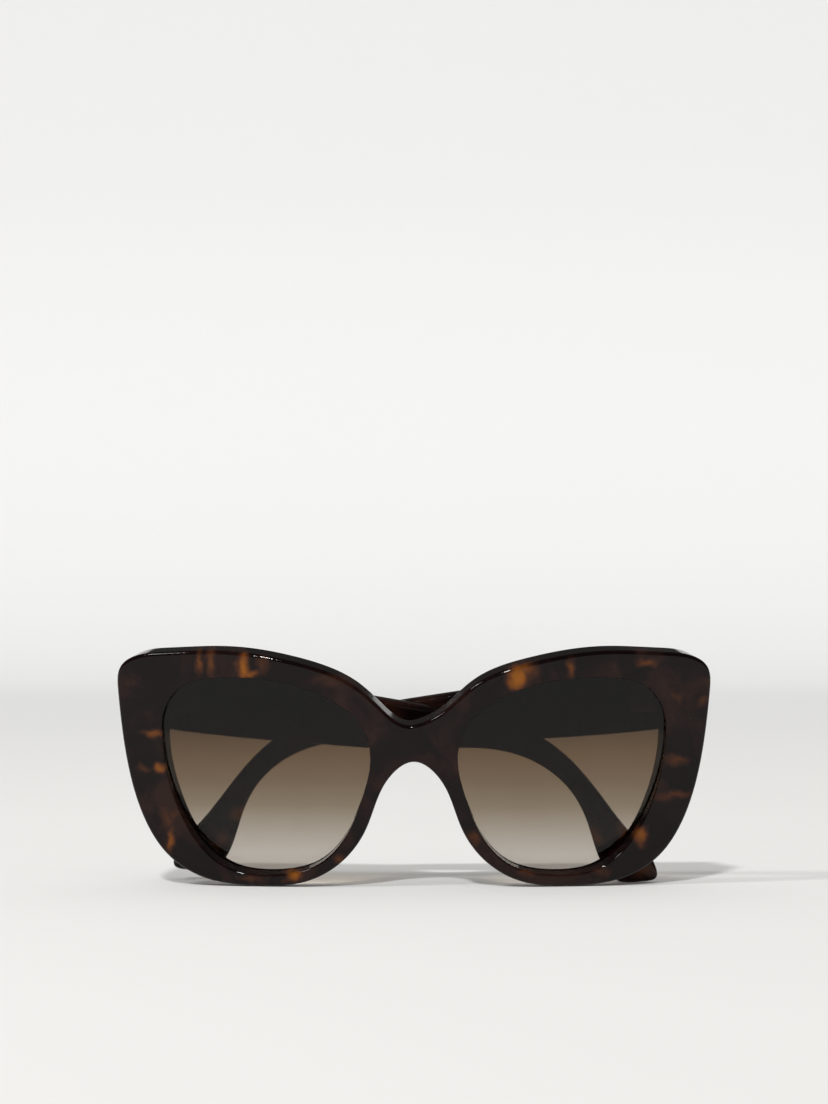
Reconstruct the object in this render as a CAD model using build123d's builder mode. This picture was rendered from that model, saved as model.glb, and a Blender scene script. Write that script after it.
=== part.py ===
"""Cat eye sunglasses: an acetate front with two glazed lenses and two folding temples.

The glasses are drawn upright and square, with X to the wearer's left, Y to the back and Z up.
The front is bent round a vertical axis, and every wall of it points at that axis.
At the end all pieces lean forward together, and stand on the two rims and one temple tip.
"""
import os
from math import asin, cos, hypot, radians, sin, sqrt

from build123d import *

os.makedirs("parts", exist_ok=True)

# ---- driving dimensions, in mm and degrees ----------------------------------------------

WRAP_RADIUS = 230.0         # radius of the bent front, measured at its front face
FRONT_THICKNESS = 6.8       # of the acetate front
OUTER_ROUND = 0.8           # roundover of the front's outer edges
APERTURE_ROUND = 0.4        # roundover of the lens openings
LENS_RADIUS = 260.0         # radius of the lens's spherical front surface
LENS_THICKNESS = 1.8
LENS_DEPTH = 1.3            # from the front face to the lens, where the two are nearest
LENS_CENTRE = (36.0, 42.0)  # across and up to that place on the left lens, which tilts forward
LENS_SEAT = 0.6             # how far the lens's edge reaches into the acetate
SEAT_GAP = 0.05             # all round a lens, a hinge leaf and a core wire

PIN_ACROSS = 63.5           # from the middle of the front to a hinge pin
PIN_DEPTH = 21.0            # from the front face at the bridge back to the pins
PIN_HEIGHT = 43.4           # middle of the hinge above the rims' lowest point
BARREL_RADIUS = 1.6
KNUCKLES = 5                # three on the front's leaf and two on the temple's
KNUCKLE_LENGTH = 1.7
KNUCKLE_GAP = 0.1
SCREW_RADIUS = 0.65
SCREW_CLEARANCE = 0.05
SCREW_HEAD_RADIUS = 1.15
SCREW_HEAD_HEIGHT = 0.5
SCREW_SLOT = 0.25
LEAF_THICKNESS = 1.0
NECK_WIDTH = 2.6            # of the web between a front knuckle and its leaf
FRONT_LEAF_WIDTH = 4.2
TEMPLE_LEAF_LENGTH = 10.5
LEAF_CORNER = 0.6           # rounding of a leaf's corners
TEMPLE_LEAF_START = 0.3     # along the temple from the pin's axis
STUD_RADIUS = 0.75          # of the studs that hold a front leaf in the acetate
STUD_LENGTH = 2.4

TEMPLE_OFFSET = 2.0         # from the pin's axis to the temple's inner face
TEMPLE_THICKNESS = 4.2
TEMPLE_LENGTH = 127.0       # from the pin's axis to past the tip
TIP_THICKNESS = 3.4
TEMPLE_BOW = 4.5            # how far the tip bends in towards the head
BOW_START = 40.0            # distance from the pin where the bow starts
BOW_STEPS = 4
TEMPLE_ROUND = 1.1
BUTT_INNER = -4.0           # the temple's mitred end, along it from the pin's axis
BUTT_OUTER = -2.7
CORE_RADIUS = 0.7           # of the steel wire inside a temple
CORE_START = (10.0, 4.3, 0)     # the wire's ends: along the temple from the pin's axis, its
CORE_END = (72.0, 3.6, -8.4)    # distance from the inner side's plane through the pin, and up

RIGHT_FOLD = -1.9           # resting angle of the inner temple from the plane of the front
LEFT_FOLD = 3.3             # resting angle of the outer temple, which lies on the other one
LEAN = 11.0                 # of the standing glasses, the brow forward

PAD_HEIGHT = 19.0           # middle of a nose pad
PAD_TURN = 21.0             # of a pad's long axis from upright, its foot away from the nose
PAD_ROUND = 0.9
PAD_REACH = 20.0            # more than a pad stands out
PAD_SECTIONS = [            # depth, distance from the middle, length and width
    (5.5, 12.0, 17.0, 3.2),
    (8.0, 11.7, 16.4, 3.1),
    (11.6, 11.1, 14.0, 2.2),
]

LEFT = 1
RIGHT = -1

BACK_RADIUS = WRAP_RADIUS - FRONT_THICKNESS
HINGE_LENGTH = KNUCKLES * KNUCKLE_LENGTH + (KNUCKLES - 1) * KNUCKLE_GAP
LOFT_FRONT = -2.0           # depths of the two sections that the front's walls run between
LOFT_BACK = 26.0
SLAB_TURN = 24.0            # half of the angle that a bent slab covers
SLAB_STEPS = 3              # spans of the spline in that angle
SLAB_BELOW = 5.0            # how far it starts below the rims
SLAB_HEIGHT = 70.0

# ---- outlines, seen from the front ------------------------------------------------------

# Half of the outer edge, from the middle of the brow round to the middle of the nose arch.
HALF_EDGE = [
    (0, 41.0), (8.0, 45.1), (14.5, 50.7), (29.0, 56.2), (46.0, 58.3), (61.0, 57.2),
    (68.4, 55.7), (71.7, 53.1), (72.3, 46.9), (70.3, 29.9), (65.8, 14.6), (60.3, 6.5),
    (50.6, 1.1), (38.5, 0), (26.2, 1.5), (17.5, 6.7), (11.65, 14.9), (5.8, 28.1), (0, 31.8),
]
# The opening of the left lens, anticlockwise from the temple side.
APERTURE = [
    (61.3, 39.2), (59.9, 44.6), (56.0, 49.2), (49.0, 51.3), (34.5, 51.4), (21.0, 47.4),
    (12.6, 40.4), (10.6, 33.0), (12.3, 23.6), (16.5, 13.3), (23.5, 5.9), (35.5, 2.95),
    (45.6, 4.4), (53.0, 10.6), (58.3, 20.8), (60.9, 31.0),
]
# Side view of a temple, all the way round and past its mitred end: along it from the pin's
# axis, and up from the rims' lowest point.
TEMPLE_EDGE = [
    (-30.0, 45.5), (-23.0, 38.0), (-8.0, 35.7), (6.0, 34.1), (22.0, 32.4), (40.0, 31.0),
    (66.0, 30.0), (85.4, 29.9), (95.2, 26.2), (102.9, 19.0), (106.2, 12.3), (109.9, 1.8),
    (113.2, -2.1), (119.5, -2.4), (123.4, -1.2), (122.8, 2.4), (117.4, 9.2), (106.3, 23.2),
    (97.5, 31.5), (80.0, 38.1), (54.0, 42.8), (30.0, 46.8), (6.0, 50.2), (-12.0, 52.0),
]


def sagitta(across):
    """How far back the bent front face is, at a distance from the middle."""
    return WRAP_RADIUS - sqrt(WRAP_RADIUS**2 - across**2)


def bent_slab(front_radius, back_radius):
    """Upright slab between two arcs round the wrap axis, taller and wider than the front."""
    with BuildPart() as slab:
        with BuildSketch(Plane.XY.offset(-SLAB_BELOW)):
            with BuildLine():
                front_arc = Spline(arc_points(front_radius))
                back_arc = Spline(arc_points(back_radius))
                Line(front_arc @ 0, back_arc @ 0)
                Line(front_arc @ 1, back_arc @ 1)
            make_face()
        extrude(amount=SLAB_HEIGHT)
    return slab.part


def arc_points(radius):
    """Points at even angles along an arc round the wrap axis, for a spline that follows it."""
    turns = [radians(SLAB_TURN * step / SLAB_STEPS) for step in range(-SLAB_STEPS, SLAB_STEPS + 1)]
    return [(radius * sin(turn), WRAP_RADIUS - radius * cos(turn)) for turn in turns]


def section(points, depth, side):
    """Points of the front face, carried along its radial walls to a flat section at a depth."""
    spread = WRAP_RADIUS - depth
    return [(side * x * spread / sqrt(WRAP_RADIUS**2 - x**2), z) for x, z in points]


def grown(points, margin):
    """Points of an anticlockwise closed outline, moved outward by a margin."""
    moved = []
    for before, (x, z), after in zip(points[-1:] + points[:-1], points, points[1:] + points[:1]):
        run = after[0] - before[0]
        rise = after[1] - before[1]
        step = margin / hypot(run, rise)
        moved.append((x + rise * step, z - run * step))
    return moved


def lens_prism(side, margin, start, end):
    """Solid with the lens opening's outline, grown by a margin, between two depths."""
    points = grown(APERTURE, margin)
    with BuildPart() as prism:
        for depth in (start, end):
            with BuildSketch(Plane.XZ.offset(-depth)):
                with BuildLine():
                    Spline(section(points, depth, side), periodic=True)
                make_face()
        loft(ruled=True)
    return prism.part


def lens_shell(side, front_gap, thickness):
    """Spherical shell that holds a lens, started a little in front of the lens's surface."""
    across, up = LENS_CENTRE
    turn = asin(across / WRAP_RADIUS)
    to_centre = WRAP_RADIUS - LENS_DEPTH - LENS_RADIUS
    centre = (side * to_centre * sin(turn), WRAP_RADIUS - to_centre * cos(turn), up)
    with BuildPart() as shell:
        with Locations(centre):
            Sphere(LENS_RADIUS + front_gap)
            Sphere(LENS_RADIUS + front_gap - thickness, mode=Mode.SUBTRACT)
    return shell.part


def lens_groove(side):
    """The groove that a lens is sprung into."""
    with BuildPart() as groove:
        add(lens_prism(side, LENS_SEAT + SEAT_GAP, LOFT_FRONT, LOFT_BACK))
        add(lens_shell(side, SEAT_GAP, LENS_THICKNESS + 2 * SEAT_GAP), mode=Mode.INTERSECT)
    return groove.part


def make_lens(side):
    """A lens: a piece of a spherical shell, cut to the opening's shape plus its seat."""
    with BuildPart() as lens:
        add(lens_prism(side, LENS_SEAT, LOFT_FRONT, LOFT_BACK))
        add(lens_shell(side, 0, LENS_THICKNESS), mode=Mode.INTERSECT)
    return lens.part


def pin_plane(side, fold=0.0):
    """Plane at a hinge's middle: X along the folded temple, Z up the pin."""
    along = (-side * cos(radians(fold)), sin(radians(fold)), 0)
    return Plane(origin=(side * PIN_ACROSS, PIN_DEPTH, PIN_HEIGHT), x_dir=along, z_dir=(0, 0, 1))


def seat_plane(side):
    """Plane on the front's back face at a hinge: X towards the nose, Z forward into the acetate."""
    turn = asin(PIN_ACROSS / BACK_RADIUS)
    origin = (side * BACK_RADIUS * sin(turn), WRAP_RADIUS - BACK_RADIUS * cos(turn), PIN_HEIGHT)
    return Plane(origin=origin, x_dir=(-side * cos(turn), -sin(turn), 0),
                 z_dir=(side * sin(turn), -cos(turn), 0))


def knuckle_middles(first):
    """Heights of every second knuckle's middle, above the hinge's middle."""
    pitch = KNUCKLE_LENGTH + KNUCKLE_GAP
    lowest = -(KNUCKLES - 1) / 2 * pitch
    return [lowest + index * pitch for index in range(first, KNUCKLES, 2)]


def leaf_body(side, gap):
    """A front leaf's plate and studs, sunk in the acetate, with a gap all round."""
    with BuildPart() as body:
        with BuildSketch(seat_plane(side).offset(-gap)):
            RectangleRounded(FRONT_LEAF_WIDTH + 2 * gap, HINGE_LENGTH + 2 * gap, LEAF_CORNER)
        extrude(amount=LEAF_THICKNESS + 2 * gap)
        with BuildSketch(seat_plane(side)):
            with Locations((0, -HINGE_LENGTH / 4), (0, HINGE_LENGTH / 4)):
                Circle(STUD_RADIUS + gap)
        extrude(amount=STUD_LENGTH + gap)
    return body.part


# ---- the front --------------------------------------------------------------------------

with BuildPart() as front_frame:
    whole_edge = HALF_EDGE + [(-x, z) for x, z in HALF_EDGE[-2:0:-1]]
    for depth in (LOFT_FRONT, LOFT_BACK):
        with BuildSketch(Plane.XZ.offset(-depth)):
            with BuildLine():
                Spline(section(whole_edge, depth, LEFT), periodic=True)
            make_face()
    loft(ruled=True)
    add(bent_slab(WRAP_RADIUS, BACK_RADIUS), mode=Mode.INTERSECT)
    for side in (LEFT, RIGHT):
        add(lens_prism(side, 0, LOFT_FRONT, LOFT_BACK), mode=Mode.SUBTRACT)
    bent_faces = front_frame.faces().filter_by(GeomType.EXTRUSION)
    opening_edges = [edge for face in bent_faces for wire in face.inner_wires() for edge in wire.edges()]
    outer_edges = [edge for face in bent_faces for edge in face.outer_wire().edges()]
    fillet(outer_edges, OUTER_ROUND)
    fillet(opening_edges, APERTURE_ROUND)
    for side in (LEFT, RIGHT):
        add(lens_groove(side), mode=Mode.SUBTRACT)
        add(leaf_body(side, SEAT_GAP), mode=Mode.SUBTRACT)


# ---- the lenses and nose pads -----------------------------------------------------------


def make_nose_pad(side):
    """A pad glued behind the nose arch: it narrows to the back and towards the nose."""
    with BuildPart() as pad:
        for depth, across, length, width in PAD_SECTIONS:
            plane = Plane.XZ.offset(-depth)
            with BuildSketch(plane):
                with Locations((side * across, PAD_HEIGHT)):
                    SlotOverall(length, width, rotation=90 + side * PAD_TURN)
        loft()
        fillet(pad.edges().sort_by(Axis.Y)[-1], PAD_ROUND)
        add(bent_slab(BACK_RADIUS, BACK_RADIUS - PAD_REACH), mode=Mode.INTERSECT)
    return pad.part


# ---- the hinges -------------------------------------------------------------------------


def make_front_leaf(side):
    """The leaf sunk in the front: a plate with two studs, and three knuckles on webs."""
    reach = PIN_DEPTH - sagitta(PIN_ACROSS) - FRONT_THICKNESS
    with BuildPart() as leaf:
        add(leaf_body(side, 0))
        for middle in knuckle_middles(0):
            with BuildSketch(pin_plane(side).offset(middle)):
                Circle(BARREL_RADIUS)
                with Locations((0, side * reach / 2)):
                    Rectangle(NECK_WIDTH, reach)
            extrude(amount=KNUCKLE_LENGTH / 2, both=True)
        with BuildSketch(pin_plane(side)):
            Circle(SCREW_RADIUS + SCREW_CLEARANCE)
        extrude(amount=HINGE_LENGTH, both=True, mode=Mode.SUBTRACT)
    return leaf.part


def make_hinge_screw(side):
    """The screw that is the hinge's pin, with a slotted head above the top knuckle."""
    top = HINGE_LENGTH / 2
    with BuildPart() as screw:
        with BuildSketch(pin_plane(side)):
            Circle(SCREW_RADIUS)
        extrude(amount=top, both=True)
        with BuildSketch(pin_plane(side).offset(top)):
            Circle(SCREW_HEAD_RADIUS)
        extrude(amount=SCREW_HEAD_HEIGHT)
        chamfer(screw.edges().sort_by(Axis.Z)[-1], SCREW_HEAD_HEIGHT / 3)
        with BuildSketch(pin_plane(side).offset(top + SCREW_HEAD_HEIGHT)):
            Rectangle(3 * SCREW_HEAD_RADIUS, SCREW_SLOT)
        extrude(amount=-SCREW_HEAD_HEIGHT / 2, mode=Mode.SUBTRACT)
    return screw.part


def temple_leaf_plate(side, fold, gap):
    """The plate of a temple's leaf, flush with the temple's inner face, with a gap all round."""
    back = -side
    middle = TEMPLE_LEAF_LENGTH / 2 + TEMPLE_LEAF_START
    thickness = LEAF_THICKNESS + 2 * gap
    with BuildPart() as plate:
        with BuildSketch(pin_plane(side, fold)):
            with Locations((middle, back * (TEMPLE_OFFSET + LEAF_THICKNESS / 2))):
                Rectangle(TEMPLE_LEAF_LENGTH + 2 * gap, thickness)
        extrude(amount=HINGE_LENGTH / 2 + gap, both=True)
        corners = plate.edges().filter_by(lambda edge: abs(edge.length - thickness) < gap + SEAT_GAP)
        fillet(corners, LEAF_CORNER)
    return plate.part


def make_temple_leaf(side, fold):
    """The leaf sunk in a temple: a plate with two knuckles."""
    back = -side
    deep = TEMPLE_OFFSET + LEAF_THICKNESS
    with BuildPart() as leaf:
        add(temple_leaf_plate(side, fold, 0))
        for middle in knuckle_middles(1):
            with BuildSketch(pin_plane(side, fold).offset(middle)):
                Circle(BARREL_RADIUS)
                with Locations((TEMPLE_LEAF_START + BARREL_RADIUS, back * deep / 2)):
                    Rectangle(2 * BARREL_RADIUS, deep)
            extrude(amount=KNUCKLE_LENGTH / 2, both=True)
        with BuildSketch(pin_plane(side, fold)):
            Circle(SCREW_RADIUS + SCREW_CLEARANCE)
        extrude(amount=HINGE_LENGTH, both=True, mode=Mode.SUBTRACT)
    return leaf.part


# ---- the temples ------------------------------------------------------------------------


def core_wire(side, fold, radius):
    """The straight steel wire in a temple's middle, which drops with the temple's slope."""
    plane = pin_plane(side, fold)
    start, end = [plane.from_local_coords(Vector(along, -side * depth, up))
                  for along, depth, up in (CORE_START, CORE_END)]
    with BuildPart() as wire:
        with BuildSketch(Plane(origin=start, z_dir=end - start)):
            Circle(radius)
        extrude(amount=(end - start).length)
    return wire.part


def bow_points(start, offset, back):
    """Points along a temple's face: straight from its mitred end, then bent towards the head."""
    points = [(start, back * offset)]
    for step in range(BOW_STEPS + 1):
        share = step / BOW_STEPS
        along = BOW_START + share * (TEMPLE_LENGTH - BOW_START)
        thinner = (offset - TEMPLE_OFFSET) * (1 - TIP_THICKNESS / TEMPLE_THICKNESS) * share
        points.append((along, back * (offset - thinner - TEMPLE_BOW * share**2)))
    return points


def make_temple(side, fold):
    """An acetate temple: its side view and its bowed plan cross, and its long edges are round."""
    back = -side
    plane = pin_plane(side, fold)
    side_plane = Plane(origin=plane.origin, x_dir=plane.x_dir, z_dir=plane.x_dir.cross(plane.z_dir))
    with BuildPart() as temple:
        with BuildSketch(plane.offset(-SLAB_HEIGHT)):
            with BuildLine():
                inner = Spline(bow_points(BUTT_INNER, TEMPLE_OFFSET, back))
                outer = Spline(bow_points(BUTT_OUTER, TEMPLE_OFFSET + TEMPLE_THICKNESS, back))
                Line(inner @ 0, outer @ 0)
                Line(inner @ 1, outer @ 1)
            make_face()
        extrude(amount=2 * SLAB_HEIGHT)
        with BuildSketch(side_plane):
            with BuildLine():
                Spline([(along, up - PIN_HEIGHT) for along, up in TEMPLE_EDGE], periodic=True)
            make_face()
        extrude(amount=SLAB_HEIGHT, both=True, mode=Mode.INTERSECT)
        long_edges = temple.edges().filter_by(lambda edge: edge.length > 2 * TEMPLE_THICKNESS
                                              and edge.geom_type != GeomType.LINE)
        fillet(long_edges, TEMPLE_ROUND)
        add(temple_leaf_plate(side, fold, SEAT_GAP), mode=Mode.SUBTRACT)
        add(core_wire(side, fold, CORE_RADIUS + SEAT_GAP), mode=Mode.SUBTRACT)
    return temple.part


# ---- the finished pieces, standing ------------------------------------------------------

pieces = {"front_frame": front_frame.part}
for name, side, fold in (("left", LEFT, LEFT_FOLD), ("right", RIGHT, RIGHT_FOLD)):
    pieces[name + "_lens"] = make_lens(side)
    pieces[name + "_nose_pad"] = make_nose_pad(side)
    pieces[name + "_front_leaf"] = make_front_leaf(side)
    pieces[name + "_hinge_screw"] = make_hinge_screw(side)
    pieces[name + "_temple_leaf"] = make_temple_leaf(side, fold)
    pieces[name + "_temple"] = make_temple(side, fold)
    pieces[name + "_core_wire"] = core_wire(side, fold, CORE_RADIUS)

for piece in pieces.values():
    piece.move(Location((0, 0, 0), (LEAN, 0, 0)))
boxes = [piece.bounding_box() for piece in pieces.values()]
front_most = min(box.min.Y for box in boxes)
back_most = max(box.max.Y for box in boxes)
stand = Location((0, -(front_most + back_most) / 2, -min(box.min.Z for box in boxes)))
for name, piece in pieces.items():
    piece.move(stand)
    piece.label = name
    export_step(piece, f"parts/{name}.step")
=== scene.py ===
"""Looks for the folded cat eye sunglasses: tortoiseshell acetate, gradient lenses and hinges."""
from math import cos, pi, radians, sin

import bpy
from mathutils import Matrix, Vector


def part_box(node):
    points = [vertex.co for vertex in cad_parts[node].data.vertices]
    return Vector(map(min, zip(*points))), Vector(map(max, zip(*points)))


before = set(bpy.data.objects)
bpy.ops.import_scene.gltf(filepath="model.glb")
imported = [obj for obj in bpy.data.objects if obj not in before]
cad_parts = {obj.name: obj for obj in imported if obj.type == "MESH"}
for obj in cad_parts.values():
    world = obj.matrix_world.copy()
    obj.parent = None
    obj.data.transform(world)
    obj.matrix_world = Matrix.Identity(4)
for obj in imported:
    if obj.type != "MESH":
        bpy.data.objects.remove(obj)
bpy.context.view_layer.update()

MM = 0.001

# ---- camera ------------------------------------------------------------------------------

BROW_FRONT_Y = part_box("front_frame")[0][1]      # the front leans forward, so its brow is nearest
VIEW_PLANE_SETBACK = 9 * MM     # from the brow back to the plane where the view is measured
CAMERA_DISTANCE = 1.0           # from the camera to that plane
CAMERA_HEIGHT = 81.5 * MM
VIEW_WIDTH = 201 * MM           # what the picture's width covers at that plane
SENSOR_WIDTH = 36.0


def add_camera():
    """A level camera in front of the glasses, looking along +Y."""
    data = bpy.data.cameras.new("camera")
    data.sensor_fit = "HORIZONTAL"
    data.sensor_width = SENSOR_WIDTH
    data.lens = SENSOR_WIDTH * CAMERA_DISTANCE / VIEW_WIDTH
    camera = bpy.data.objects.new("camera", data)
    camera.location = (0, BROW_FRONT_Y + VIEW_PLANE_SETBACK - CAMERA_DISTANCE, CAMERA_HEIGHT)
    camera.rotation_euler = (radians(90), 0, 0)
    bpy.context.scene.collection.objects.link(camera)
    bpy.context.scene.camera = camera


# ---- node helpers ------------------------------------------------------------------------


class Shader:
    """A material's node tree, with short calls for the nodes used here."""

    def __init__(self, name):
        self.material = bpy.data.materials.new(name)
        self.material.use_nodes = True
        self.tree = self.material.node_tree
        self.surface = self.tree.nodes["Principled BSDF"]

    def node(self, kind, **settings):
        made = self.tree.nodes.new(kind)
        for key, value in settings.items():
            setattr(made, key, value)
        return made

    def link(self, source, target):
        self.tree.links.new(source, target)

    def put(self, socket, value):
        """Links a socket, or sets it when the value is a plain number or colour."""
        if isinstance(value, bpy.types.NodeSocket):
            self.link(value, socket)
        else:
            socket.default_value = value

    def place(self):
        return self.node("ShaderNodeTexCoord").outputs["Object"]

    def split(self, vector):
        made = self.node("ShaderNodeSeparateXYZ")
        self.link(vector, made.inputs[0])
        return made.outputs

    def scaled(self, vector, scale, offset=(0, 0, 0)):
        mapping = self.node("ShaderNodeMapping")
        self.link(vector, mapping.inputs["Vector"])
        mapping.inputs["Scale"].default_value = scale
        mapping.inputs["Location"].default_value = offset
        return mapping.outputs["Vector"]

    def noise_node(self, vector, scale, detail=2.0, roughness=0.5, distortion=0.0):
        made = self.node("ShaderNodeTexNoise")
        self.link(vector, made.inputs["Vector"])
        made.inputs["Scale"].default_value = scale
        made.inputs["Detail"].default_value = detail
        made.inputs["Roughness"].default_value = roughness
        made.inputs["Distortion"].default_value = distortion
        return made

    def noise(self, *settings):
        return self.noise_node(*settings).outputs["Fac"]

    def math(self, operation, first, second=0.0, third=0.0):
        made = self.node("ShaderNodeMath", operation=operation)
        for socket, value in zip(made.inputs, (first, second, third)):
            self.put(socket, value)
        return made.outputs[0]

    def vector_math(self, operation, *values):
        made = self.node("ShaderNodeVectorMath", operation=operation)
        for socket, value in zip(made.inputs, values):
            self.put(socket, value)
        return made.outputs[0]

    def smooth(self, value, low, high, start=0.0, end=1.0, interpolation="SMOOTHSTEP"):
        """Maps low to start and high to end, easing in and out unless told otherwise."""
        made = self.node("ShaderNodeMapRange", interpolation_type=interpolation, clamp=True)
        self.put(made.inputs["Value"], value)
        made.inputs["From Min"].default_value = low
        made.inputs["From Max"].default_value = high
        self.put(made.inputs["To Min"], start)
        self.put(made.inputs["To Max"], end)
        return made.outputs["Result"]

    def mix(self, share, first, second):
        made = self.node("ShaderNodeMix", data_type="RGBA")
        self.put(made.inputs["Factor"], share)
        self.put(made.inputs["A"], first)
        self.put(made.inputs["B"], second)
        return made.outputs["Result"]

    def ramp(self, value, stops):
        made = self.node("ShaderNodeValToRGB")
        self.put(made.inputs["Fac"], value)
        elements = made.color_ramp.elements
        while len(elements) < len(stops):
            elements.new(0.5)
        for element, (position, colour) in zip(elements, stops):
            element.position = position
            element.color = (*colour, 1)
        return made.outputs["Color"]

    def bump(self, height, distance, strength):
        made = self.node("ShaderNodeBump")
        self.put(made.inputs["Height"], height)
        made.inputs["Distance"].default_value = distance
        made.inputs["Strength"].default_value = strength
        return made.outputs["Normal"]


def linear(red, green, blue):
    """A colour picked as screen values from 0 to 255, in the linear values that shaders use."""
    return tuple((value / 255) ** 2.2 for value in (red, green, blue))


# ---- tortoiseshell acetate ---------------------------------------------------------------

NIGHT = linear(20, 14, 14)      # the dark ground
HAZE = linear(48, 31, 26)       # reddish brown clouds in it
EMBER = linear(72, 41, 24)      # the rim of an amber patch
AMBER = linear(134, 79, 22)     # the heart of an amber patch

# Amber patches: across and up in mm, half width, half height and strength.
FRONT_PATCHES = [
    (-52.0, 55.0, 0.7, 2.2, 0.6), (-49.2, 55.0, 0.7, 2.4, 0.55), (-41.2, 53.4, 0.9, 2.3, 1.0),
    (-40.0, 51.9, 1.5, 0.8, 0.8), (-36.6, 54.2, 1.0, 1.6, 0.4), (-63.1, 37.6, 1.9, 0.6, 0.65),
    (-61.9, 28.8, 1.2, 0.9, 0.85), (-66.5, 28.7, 1.0, 0.7, 0.4), (-59.5, 11.4, 0.7, 1.9, 0.75),
    (-60.6, 16.4, 0.8, 1.3, 0.4), (-29.3, 2.9, 1.3, 1.0, 0.95), (-40.0, 1.8, 1.5, 0.6, 0.4),
    (-18.2, 6.9, 1.0, 0.7, 0.5), (-21.0, 50.6, 3.0, 0.9, 0.25),
    (25.0, 51.2, 1.3, 1.8, 1.15), (26.6, 52.8, 1.9, 1.3, 0.7), (37.8, 53.4, 0.8, 1.5, 0.6),
    (56.4, 54.9, 1.8, 0.7, 0.55), (70.0, 45.2, 0.9, 1.0, 0.4), (63.8, 30.8, 2.0, 0.8, 0.45),
    (63.4, 22.4, 2.8, 0.8, 0.45), (55.4, 12.2, 1.1, 1.4, 0.8), (14.6, 12.2, 0.8, 1.3, 0.45),
    (27.2, 3.3, 1.3, 0.7, 0.4), (45.5, 3.6, 1.5, 0.6, 0.3),
]
LEFT_TEMPLE_PATCHES = [
    (-42.8, 16.6, 1.8, 1.6, 1.0), (-47.5, 10.2, 1.8, 1.4, 0.6), (-30.5, 33.5, 2.4, 1.0, 0.35),
    (-55.0, 4.6, 1.8, 1.1, 0.5), (30.5, 45.5, 3.0, 1.4, 0.35), (45.0, 46.0, 2.4, 1.4, 0.3),
]
RIGHT_TEMPLE_PATCHES = [
    (44.4, 11.6, 1.6, 1.4, 0.8), (51.4, 13.2, 1.3, 1.8, 0.8), (39.4, 22.6, 1.8, 0.9, 0.35),
    (56.6, 3.4, 2.2, 1.2, 0.5), (-42.0, 44.0, 2.4, 1.4, 0.35), (-20.0, 44.5, 3.0, 1.2, 0.25),
]
PAD_PATCHES = [(9.0, 18.0, 3.0, 5.0, 0.3), (-9.0, 18.0, 3.0, 5.0, 0.3)]
PATCH_REACH = 2.8               # where a patch has faded out, in half widths

WAVE_SCALE = 300                # how fine the waves in the patches' edges are
WAVE_WIDTH = 3.4 * MM           # how far they move an edge, from side to side
CLOUD_SCALE = 95
CLOUD_STRETCH = (1, 0.35, 0.8)
FLECK_SCALE = 210
FLECK_STRETCH = (1, 0.4, 1)
FLECK_AMBER = 0.36              # how amber the small stray flecks get
MARK_SCALE = 2600               # polishing marks
MARK_STRETCH = (1, 1, 0.25)
MARK_DEPTH = 0.002 * MM
MARK_STRENGTH = 0.25
POLISHED = 0.04                 # roughness between the marks and on them
MARKED = 0.09
ACETATE_IOR = 1.48
ACETATE_SPECULAR = 0.2


def patch_mask(shader, wobble, patches):
    """How much amber shows at each place: soft ellipses seen from the front, with wavy edges."""
    spot = shader.split(wobble)
    total = 0.0
    for across, up, half_width, half_height, strength in patches:
        run = shader.math("MULTIPLY_ADD", spot["X"], 1 / (half_width * MM), -across / half_width)
        rise = shader.math("MULTIPLY_ADD", spot["Z"], 1 / (half_height * MM), -up / half_height)
        square = shader.math("MULTIPLY_ADD", run, run, shader.math("MULTIPLY", rise, rise))
        share = shader.smooth(shader.math("SQRT", square), PATCH_REACH, 0.0, 0.0, strength)
        total = shader.math("MAXIMUM", total, share)
    return total


def acetate(name, patches, seed):
    """Polished dark tortoiseshell with amber patches, reddish clouds and fine polishing marks."""
    shader = Shader(name)
    place = shader.place()
    wave = shader.noise_node(shader.scaled(place, (1, 1, 1), (seed, 0, 0)), WAVE_SCALE)
    moved = shader.vector_math("MULTIPLY_ADD", wave.outputs["Color"], [WAVE_WIDTH] * 3, place)
    wobble = shader.vector_math("SUBTRACT", moved, [WAVE_WIDTH / 2] * 3)

    amber = patch_mask(shader, wobble, patches)
    cloud_place = shader.scaled(place, CLOUD_STRETCH, (seed, seed, 0))
    clouds = shader.noise(cloud_place, CLOUD_SCALE, 3, 0.55, 0.6)
    fleck_place = shader.scaled(place, FLECK_STRETCH, (0, seed, seed))
    flecks = shader.noise(fleck_place, FLECK_SCALE, 2, 0.5, 0.8)
    haze = shader.math("ADD", shader.smooth(clouds, 0.42, 0.72, 0.0, 0.7),
                       shader.smooth(amber, 0.0, 0.4, 0.0, 0.5))
    stray = shader.math("MULTIPLY", shader.smooth(flecks, 0.58, 0.78),
                        shader.smooth(clouds, 0.5, 0.64))
    amber = shader.math("MAXIMUM", amber, shader.math("MULTIPLY", stray, FLECK_AMBER))
    colour = shader.mix(shader.math("MINIMUM", haze, 1.0), (*NIGHT, 1), (*HAZE, 1))
    colour = shader.mix(shader.smooth(amber, 0.0, 0.8), colour, (*EMBER, 1))
    colour = shader.mix(shader.smooth(amber, 0.3, 1.25), colour, (*AMBER, 1))

    inputs = shader.surface.inputs
    shader.link(colour, inputs["Base Color"])
    marks = shader.noise(shader.scaled(place, MARK_STRETCH), MARK_SCALE)
    shader.link(shader.smooth(marks, 0.3, 0.7, POLISHED, MARKED), inputs["Roughness"])
    inputs["IOR"].default_value = ACETATE_IOR
    inputs["Specular IOR Level"].default_value = ACETATE_SPECULAR
    shader.link(shader.bump(marks, MARK_DEPTH, MARK_STRENGTH), inputs["Normal"])
    return shader.material


# ---- lenses ------------------------------------------------------------------------------

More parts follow.
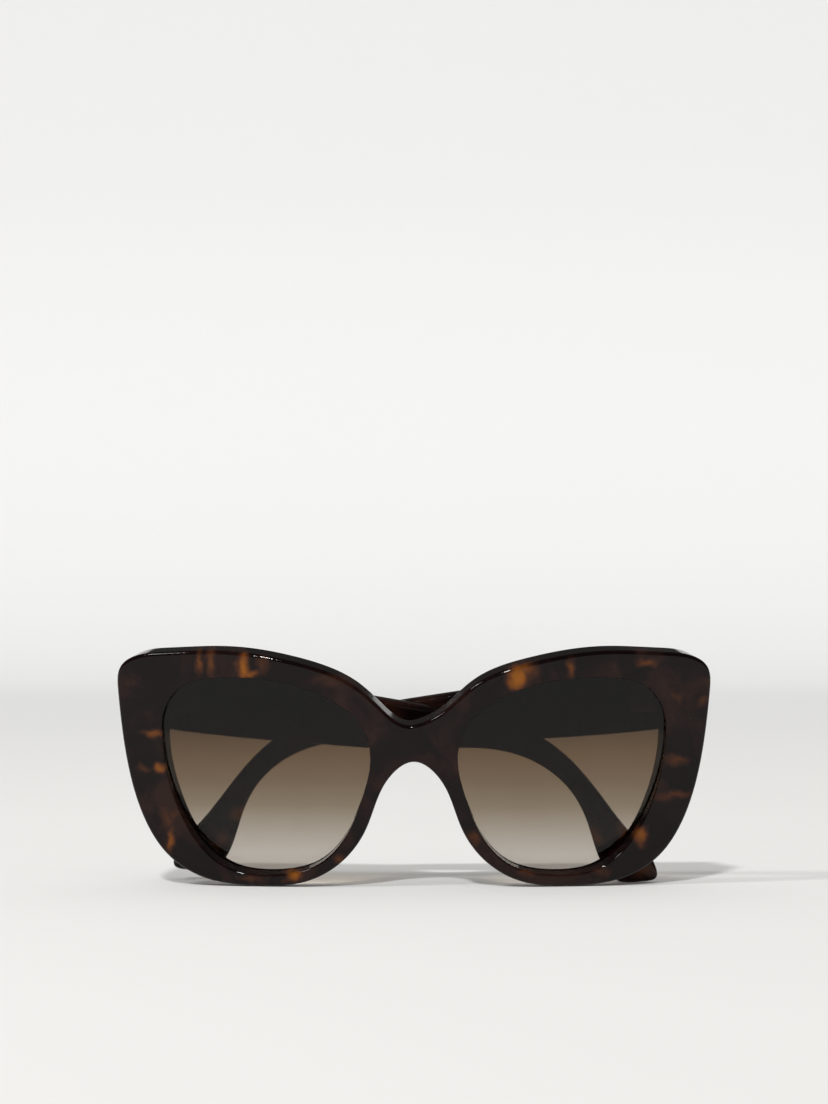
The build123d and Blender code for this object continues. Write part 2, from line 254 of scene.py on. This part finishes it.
# The lens's tint: height above the lens's foot, as a share of the lens, and the light let through.
LENS_STOPS = [
    (0.10, linear(192, 185, 177)), (0.22, linear(170, 161, 148)), (0.34, linear(141, 127, 109)),
    (0.46, linear(124, 106, 88)), (0.59, linear(112, 92, 72)), (0.85, linear(54, 44, 36)),
]
LENS_IOR = 1.32                 # below a real lens's, so the room leaves no grey veil on it
TINT_CLOUD_SCALE = 30
TINT_CLOUD = 0.012              # how far the gradient wavers, as a share of the lens
HALF_TINT = 0.5                 # a shadow ray meets two faces, and each takes half of the tint


def lens_tint():
    """Brown tint, dark at the brow and nearly clear at the foot."""
    shader = Shader("lens_tint")
    place = shader.place()
    low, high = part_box("left_lens")
    share = shader.smooth(shader.split(place)["Z"], low[2], high[2], interpolation="LINEAR")
    cloud = shader.noise(place, TINT_CLOUD_SCALE)
    share = shader.math("ADD", share, shader.smooth(cloud, 0.3, 0.7, -TINT_CLOUD, TINT_CLOUD))
    tint = shader.ramp(share, LENS_STOPS)

    surface = shader.surface
    shader.link(tint, surface.inputs["Base Color"])
    surface.inputs["Transmission Weight"].default_value = 1.0
    surface.inputs["Roughness"].default_value = 0.0
    surface.inputs["IOR"].default_value = LENS_IOR

    face = shader.node("ShaderNodeGamma")
    shader.link(tint, face.inputs["Color"])
    face.inputs["Gamma"].default_value = HALF_TINT
    see = shader.node("ShaderNodeBsdfTransparent")
    shader.link(face.outputs[0], see.inputs["Color"])
    path = shader.node("ShaderNodeLightPath")
    either = shader.node("ShaderNodeMixShader")
    shader.link(path.outputs["Is Shadow Ray"], either.inputs["Fac"])
    shader.link(surface.outputs[0], either.inputs[1])
    shader.link(see.outputs[0], either.inputs[2])
    shader.link(either.outputs[0], shader.tree.nodes["Material Output"].inputs["Surface"])
    return shader.material


# ---- metal -------------------------------------------------------------------------------

TARNISH_SCALE = 900
GRAIN_STRETCH = (1, 1, 0.08)
GRAIN_DEPTH = 0.006 * MM
GRAIN_STRENGTH = 0.5
GRAIN_ROUGHNESS = 0.15          # how much rougher the grain is than the metal between it


def metal(name, bright, dull, grain_scale, roughness):
    """Drawn or turned metal: fine grain along one way and a faint tarnish."""
    shader = Shader(name)
    place = shader.place()
    inputs = shader.surface.inputs
    tarnish = shader.noise(place, TARNISH_SCALE, 3)
    grain = shader.noise(shader.scaled(place, GRAIN_STRETCH), grain_scale)
    colour = shader.mix(shader.smooth(tarnish, 0.4, 0.65), (*bright, 1), (*dull, 1))
    shader.link(colour, inputs["Base Color"])
    inputs["Metallic"].default_value = 1.0
    shader.link(shader.smooth(grain, 0.3, 0.7, roughness, roughness + GRAIN_ROUGHNESS),
                inputs["Roughness"])
    shader.link(shader.bump(grain, GRAIN_DEPTH, GRAIN_STRENGTH), inputs["Normal"])
    return shader.material


# ---- the stage ---------------------------------------------------------------------------

FLOOR_HALF_WIDTH = 2.5
FLOOR_FRONT = -1.6
SWEEP_START = 1.4
SWEEP_RADIUS = 0.35
SWEEP_STEPS = 16
WALL_HEIGHT = 0.52

# Painted shade: the far paper gets a darker colour, which evens out the wall that the lamps light
# more brightly.
PAPER_CLOSE = (0.895, 0.888, 0.87, 1)
PAPER_AWAY_SHADED = (0.82, 0.82, 0.81, 1)
PAPER_NEAR = 0.2                # between these depths the paper gets a little darker
PAPER_FAR = 1.6
MOTTLE_SCALE = 3
MOTTLE = 0.3                    # how much slow noise is added to that change
TOOTH_SCALE = 900
PAPER_SPECULAR = 0.1


def paper():
    """Pale matt paper with a faint mottle, and painted shade that makes it a little darker far
    behind the glasses.
    """
    shader = Shader("paper")
    place = shader.place()
    inputs = shader.surface.inputs
    tooth = shader.noise(place, TOOTH_SCALE, 3)
    shader.link(shader.smooth(tooth, 0.2, 0.8, 0.9, 1.0), inputs["Roughness"])
    # The mottle is the paper's own; the darkening with depth is painted shade.
    mottle_and_shade = shader.math("MULTIPLY_ADD", shader.noise(place, MOTTLE_SCALE), MOTTLE,
                       shader.smooth(shader.split(place)["Y"], PAPER_NEAR, PAPER_FAR))
    shader.link(shader.mix(mottle_and_shade, PAPER_CLOSE, PAPER_AWAY_SHADED), inputs["Base Color"])
    inputs["Specular IOR Level"].default_value = PAPER_SPECULAR
    return shader.material


def add_floor():
    """One sheet: flat under the glasses, and swept up into a wall far behind them."""
    line = [(FLOOR_FRONT, 0.0), (SWEEP_START, 0.0)]
    for step in range(1, SWEEP_STEPS + 1):
        turn = pi / 2 * step / SWEEP_STEPS
        line.append((SWEEP_START + SWEEP_RADIUS * sin(turn), SWEEP_RADIUS * (1 - cos(turn))))
    line.append((SWEEP_START + SWEEP_RADIUS, WALL_HEIGHT))
    points = [(side * FLOOR_HALF_WIDTH, y, z) for y, z in line for side in (-1, 1)]
    faces = [(2 * i, 2 * i + 1, 2 * i + 3, 2 * i + 2) for i in range(len(line) - 1)]
    mesh = bpy.data.meshes.new("floor")
    mesh.from_pydata(points, [], faces)
    for polygon in mesh.polygons:
        polygon.use_smooth = True
    floor = bpy.data.objects.new("floor", mesh)
    floor.data.materials.append(paper())
    bpy.context.scene.collection.objects.link(floor)


LAMP_DISTANCE = 1.5
KEY_WAY = Vector((-0.14, -0.77, 0.633))     # from the glasses to the far key light
KEY_POWER = 1.62
KEY_SPREAD = 4.0                            # its apparent size in degrees
SIDE_WAY = Vector((-0.56, -0.42, 0.71))     # from the glasses to the small box on the left
SIDE_SIZE = 0.2
SIDE_POWER = 5.0
ROOM_COLOUR = (1, 0.995, 0.98, 1)
ROOM_POWER = 0.48
ROOM_MIRRORED = 0.06                        # the room's power where a surface mirrors it


def add_light(name, kind, way, power):
    """A lamp that shines at the glasses from a direction."""
    data = bpy.data.lights.new(name, kind)
    data.energy = power
    light = bpy.data.objects.new(name, data)
    light.location = way * LAMP_DISTANCE
    light.rotation_euler = way.to_track_quat("Z", "Y").to_euler()
    bpy.context.scene.collection.objects.link(light)
    return data


def add_lights():
    """A far key light, a small side box and an even room, which is dim where it is mirrored."""
    key = add_light("key", "SUN", KEY_WAY, KEY_POWER)
    key.angle = radians(KEY_SPREAD)
    side = add_light("side_box", "AREA", SIDE_WAY, SIDE_POWER)
    side.size = SIDE_SIZE
    world = bpy.data.worlds.new("studio")
    world.use_nodes = True
    tree = world.node_tree
    room = tree.nodes["Background"]
    room.inputs["Color"].default_value = ROOM_COLOUR
    path = tree.nodes.new("ShaderNodeLightPath")
    power = tree.nodes.new("ShaderNodeMapRange")
    tree.links.new(path.outputs["Is Glossy Ray"], power.inputs["Value"])
    power.inputs["To Min"].default_value = ROOM_POWER
    power.inputs["To Max"].default_value = ROOM_MIRRORED
    tree.links.new(power.outputs["Result"], room.inputs["Strength"])
    bpy.context.scene.world = world


# ---- making ------------------------------------------------------------------------------


def dress(node, material):
    """Gives a CAD node its material in place of the one it came with."""
    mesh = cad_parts[node].data
    mesh.materials.clear()
    mesh.materials.append(material)


add_camera()
add_floor()
add_lights()
bpy.context.scene.view_settings.view_transform = "Standard"

dress("front_frame", acetate("front_acetate", FRONT_PATCHES, 0.0))
dress("left_temple", acetate("left_temple_acetate", LEFT_TEMPLE_PATCHES, 0.31))
dress("right_temple", acetate("right_temple_acetate", RIGHT_TEMPLE_PATCHES, 0.57))
pad = acetate("pad_acetate", PAD_PATCHES, 0.83)
tint = lens_tint()
hinge_metal = metal("nickel_silver", linear(205, 198, 184), linear(168, 158, 140), 5000, 0.26)
screw_metal = metal("screw_steel", linear(190, 190, 190), linear(150, 148, 145), 6000, 0.2)
wire_metal = metal("wire_steel", linear(185, 180, 170), linear(150, 145, 138), 4000, 0.3)
for side in ("left", "right"):
    dress(side + "_lens", tint)
    dress(side + "_nose_pad", pad)
    dress(side + "_front_leaf", hinge_metal)
    dress(side + "_temple_leaf", hinge_metal)
    dress(side + "_hinge_screw", screw_metal)
    dress(side + "_core_wire", wire_metal)

bpy.context.view_layer.update()
